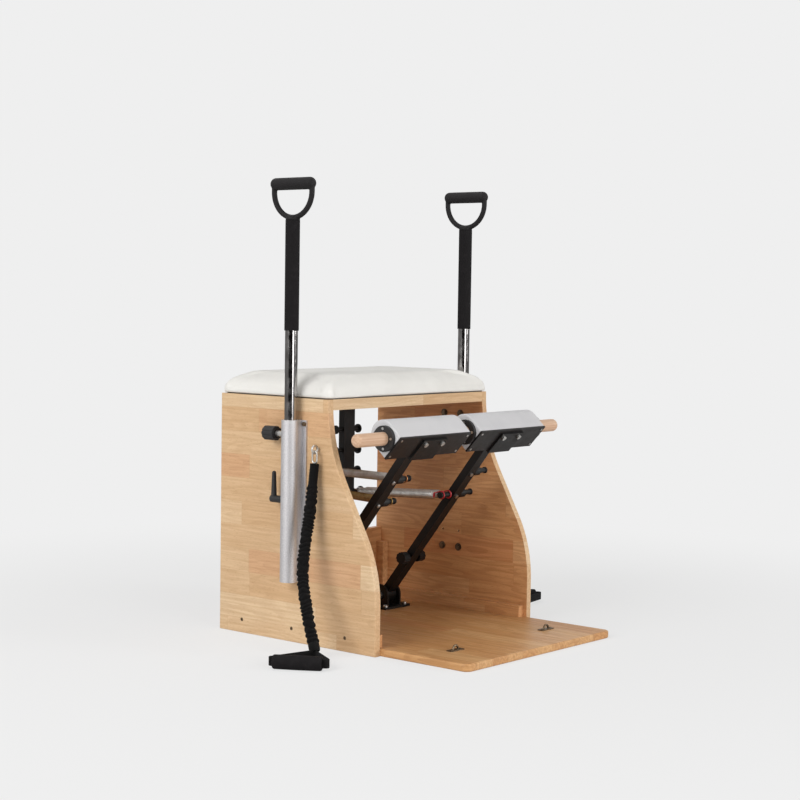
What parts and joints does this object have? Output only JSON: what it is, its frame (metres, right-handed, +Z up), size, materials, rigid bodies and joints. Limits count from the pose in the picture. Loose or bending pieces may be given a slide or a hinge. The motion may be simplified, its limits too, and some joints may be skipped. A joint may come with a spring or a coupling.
{
  "type": "pilates chair",
  "caption": "Wooden pilates chair with a padded seat, split sprung foot pedals on pivoting arms, height-set side handles and clip-on resistance bands.",
  "frame": {"origin": "on the floor, in the middle of the chair's footprint", "axes": "+Z up, -Y to the front where the pedals are, +X across to the side panel away from the camera"},
  "size_m": [1.1496, 0.76, 1.093],
  "materials": {
    "stave_wood": "clear lacquered beech staves",
    "pale_dowel": "smooth lacquered dowel",
    "white_vinyl": "soft matte vinyl",
    "black_metal": "satin black powder coat",
    "black_plastic": "moulded satin",
    "zinc_steel": "bright zinc plate",
    "spring_steel": "bright drawn wire",
    "chrome_tube": "polished",
    "satin_aluminium": "satin anodised",
    "white_nylon": "natural nylon",
    "bronze": "sintered bronze",
    "black_foam": "closed-cell foam",
    "black_webbing": "woven nylon"
  },
  "bodies": {
    "frame": {"back_panel": "stave_wood", "band_eyes": "zinc_steel", "base_board": "stave_wood", "cleats": "stave_wood", "cushion_board": "black_plastic", "frame_screws": "zinc_steel", "left_band": "black_webbing", "left_band_grip": "black_foam", "left_band_strap": "black_webbing", "left_handle_sleeve": "satin_aluminium", "left_lower_spring": "spring_steel", "left_pivot_bracket": "black_metal", "left_side_panel": "stave_wood", "left_snap_hook": "zinc_steel", "left_upper_spring": "spring_steel", "pad_eyes": "zinc_steel", "pivot_pins": "zinc_steel", "plunger_bodies": "zinc_steel", "post_pegs": "black_metal", "right_band": "black_webbing", "right_band_grip": "black_foam", "right_band_strap": "black_webbing", "right_handle_sleeve": "satin_aluminium", "right_inner_spring": "spring_steel", "right_outer_spring": "spring_steel", "right_pivot_bracket": "black_metal", "right_side_panel": "stave_wood", "right_snap_hook": "zinc_steel", "seat_board": "stave_wood", "seat_cushion": "white_vinyl", "seat_dowels": "stave_wood", "sleeve_liners": "white_nylon", "spring_post": "black_metal"},
    "left_pedal": {"left_pedal_arm": "black_metal", "left_hub_bushes": "bronze", "left_arm_pegs": "black_metal", "left_pedal_core": "stave_wood", "left_pedal_pad": "white_vinyl", "left_pedal_plate": "black_metal", "left_pedal_collars": "black_plastic", "left_pedal_fasteners": "zinc_steel"},
    "left_handle": {"left_handle_pole": "chrome_tube", "left_foam_grip": "black_foam", "left_d_handle": "black_foam"},
    "left_plunger_knob": {"left_plunger": "black_plastic"},
    "left_lever": {"left_clamp_lever": "black_plastic"},
    "right_pedal": {"right_pedal_arm": "black_metal", "right_hub_bushes": "bronze", "right_arm_pegs": "black_metal", "right_pedal_core": "stave_wood", "right_pedal_pad": "white_vinyl", "right_pedal_plate": "black_metal", "right_pedal_collars": "black_plastic", "right_pedal_fasteners": "zinc_steel"},
    "right_handle": {"right_handle_pole": "chrome_tube", "right_foam_grip": "black_foam", "right_d_handle": "black_foam"},
    "right_plunger_knob": {"right_plunger": "black_plastic"},
    "right_lever": {"right_clamp_lever": "black_plastic"},
    "dowel": {"pedal_dowel": "pale_dowel"}
  },
  "joints": [
    {"name": "left_pedal_press", "type": "hinge", "parent": "frame", "child": "left_pedal", "pos_m": [-0.149, 0.228, 0.05], "axis": [1, 0, 0], "range_deg": [0, 46], "stiffness_Nm_per_rad": 60, "springref_deg": -18.91, "deforming": ["left_upper_spring", "left_lower_spring"]},
    {"name": "left_handle_height", "type": "slide", "parent": "frame", "child": "left_handle", "axis": [0, 0, 1], "range_m": [-0.19, 0.1]},
    {"name": "left_plunger_pull", "type": "slide", "parent": "frame", "child": "left_plunger_knob", "axis": [0, 1, 0], "range_m": [0, 0.01], "stiffness_N_per_m": 800, "springref_m": -0.005},
    {"name": "left_lever_turn", "type": "hinge", "parent": "frame", "child": "left_lever", "pos_m": [-0.325, 0.16, 0.34], "axis": [0, -1, 0], "range_deg": [0, 90]},
    {"name": "right_pedal_press", "type": "hinge", "parent": "frame", "child": "right_pedal", "pos_m": [0.149, 0.228, 0.05], "axis": [1, 0, 0], "range_deg": [0, 46], "stiffness_Nm_per_rad": 60, "springref_deg": -18.91, "deforming": ["right_inner_spring", "right_outer_spring"]},
    {"name": "right_handle_height", "type": "slide", "parent": "frame", "child": "right_handle", "axis": [0, 0, 1], "range_m": [-0.19, 0.1]},
    {"name": "right_plunger_pull", "type": "slide", "parent": "frame", "child": "right_plunger_knob", "axis": [0, 1, 0], "range_m": [0, 0.01], "stiffness_N_per_m": 800, "springref_m": -0.005},
    {"name": "right_lever_turn", "type": "hinge", "parent": "frame", "child": "right_lever", "pos_m": [0.325, 0.16, 0.34], "axis": [0, 1, 0], "range_deg": [0, 90]},
    {"name": "dowel_slide", "type": "slide", "parent": "left_pedal", "child": "dowel", "axis": [1, 0, 0], "range_m": [-0.375, 0]}
  ],
  "couplings": [
    {"joint": "right_pedal_press", "follows": "left_pedal_press", "ratio": 1}
  ]
}
